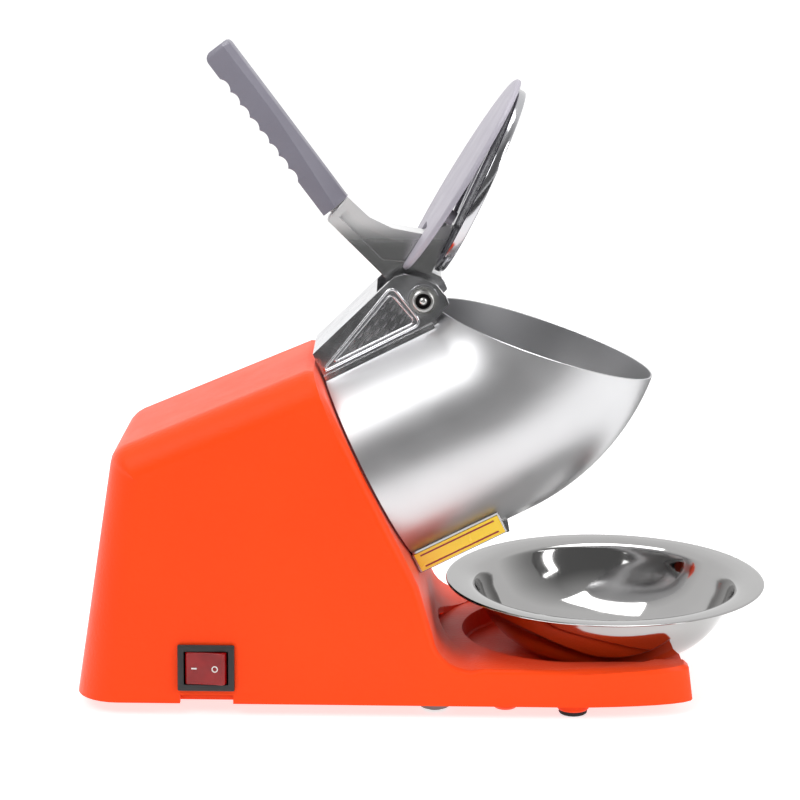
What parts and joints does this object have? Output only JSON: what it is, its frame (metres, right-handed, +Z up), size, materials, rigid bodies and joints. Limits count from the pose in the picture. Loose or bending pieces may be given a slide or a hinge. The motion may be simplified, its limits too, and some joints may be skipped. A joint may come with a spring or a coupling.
{
  "type": "shaved ice machine",
  "caption": "Countertop shaved ice machine: wedge motor housing with bowl tray, slanted steel hopper, lever press, blade disc, outlet chute and bowl.",
  "frame": {"origin": "centre of the bounding box in plan, on the surface that the feet stand on", "axes": "+X towards the bowl (front), +Y away from the side with the switch, +Z up"},
  "size_m": [0.3868, 0.181, 0.3597],
  "materials": {
    "orange_abs": "fine textured moulding",
    "black_plastic": "satin",
    "grey_plastic": "satin moulding",
    "red_plastic": "glossy translucent",
    "black_rubber": "matt",
    "grey_rubber": "matt",
    "stainless": "satin brushed",
    "mirror_steel": "mirror polished",
    "cast_aluminium": "polished casting",
    "blade_steel": "ground",
    "motor_steel": "dark laminations",
    "yellow_film": "printed film",
    "zinc_steel": "zinc plated"
  },
  "bodies": {
    "root": {"base_plate": "orange_abs", "body_shell": "orange_abs", "bracket_screw_1": "zinc_steel", "bracket_screw_2": "zinc_steel", "capacitor_clip": "zinc_steel", "chute_label": "yellow_film", "chute_screw_1": "zinc_steel", "chute_screw_2": "zinc_steel", "dome_foot_1": "grey_rubber", "dome_foot_2": "grey_rubber", "foot_1": "black_rubber", "foot_2": "black_rubber", "foot_3": "black_rubber", "foot_4": "black_rubber", "foot_screw_1": "zinc_steel", "foot_screw_2": "zinc_steel", "foot_screw_3": "zinc_steel", "foot_screw_4": "zinc_steel", "hopper": "stainless", "hopper_gasket": "black_rubber", "hopper_screw_1": "zinc_steel", "hopper_screw_2": "zinc_steel", "hopper_screw_3": "zinc_steel", "lead_bush": "black_rubber", "motor_bearing_front": "zinc_steel", "motor_bearing_rear": "zinc_steel", "motor_front_bell": "cast_aluminium", "motor_rear_bell": "cast_aluminium", "motor_screw_1": "zinc_steel", "motor_screw_2": "zinc_steel", "motor_screw_3": "zinc_steel", "motor_stator": "motor_steel", "outlet_chute": "mirror_steel", "pivot_bolt": "zinc_steel", "pivot_bracket": "cast_aluminium", "pivot_nut": "zinc_steel", "pivot_washer_1": "zinc_steel", "pivot_washer_2": "zinc_steel", "run_capacitor": "black_plastic", "shaft_seal": "black_rubber", "switch_housing": "black_plastic", "terminal_block": "grey_plastic"},
    "lever": {"lever_arm": "cast_aluminium", "lever_grip": "grey_plastic", "grip_screw": "zinc_steel", "presser_plate": "cast_aluminium", "presser_screw_1": "zinc_steel", "presser_screw_2": "zinc_steel", "presser_cover": "grey_plastic"},
    "rotor": {"motor_rotor": "motor_steel", "motor_shaft": "zinc_steel", "motor_fan": "black_plastic", "blade_disc": "stainless", "blade_1": "blade_steel", "blade_2": "blade_steel", "blade_screw_1": "zinc_steel", "blade_screw_2": "zinc_steel", "disc_nut": "zinc_steel"},
    "rocker": {"rocker": "red_plastic"},
    "bowl": {"bowl": "mirror_steel"}
  },
  "joints": [
    {"name": "lever_hinge", "type": "hinge", "parent": "root", "child": "lever", "pos_m": [-0.002, 0, 0.221], "axis": [0, 1, 0], "range_deg": [0, 128]},
    {"name": "rotor_spin", "type": "hinge", "parent": "root", "child": "rotor", "pos_m": [-0.0314, 0, 0.12533], "axis": [0.8949, 0, 0.4462], "continuous": true},
    {"name": "rocker_tilt", "type": "hinge", "parent": "root", "child": "rocker", "pos_m": [-0.1196, -0.07402, 0.027], "axis": [0.0031, 0.0975, 0.9952], "range_deg": [0, 14]},
    {"name": "bowl_slide", "type": "slide", "parent": "root", "child": "bowl", "axis": [1, 0, 0], "range_m": [0, 0.15]}
  ]
}
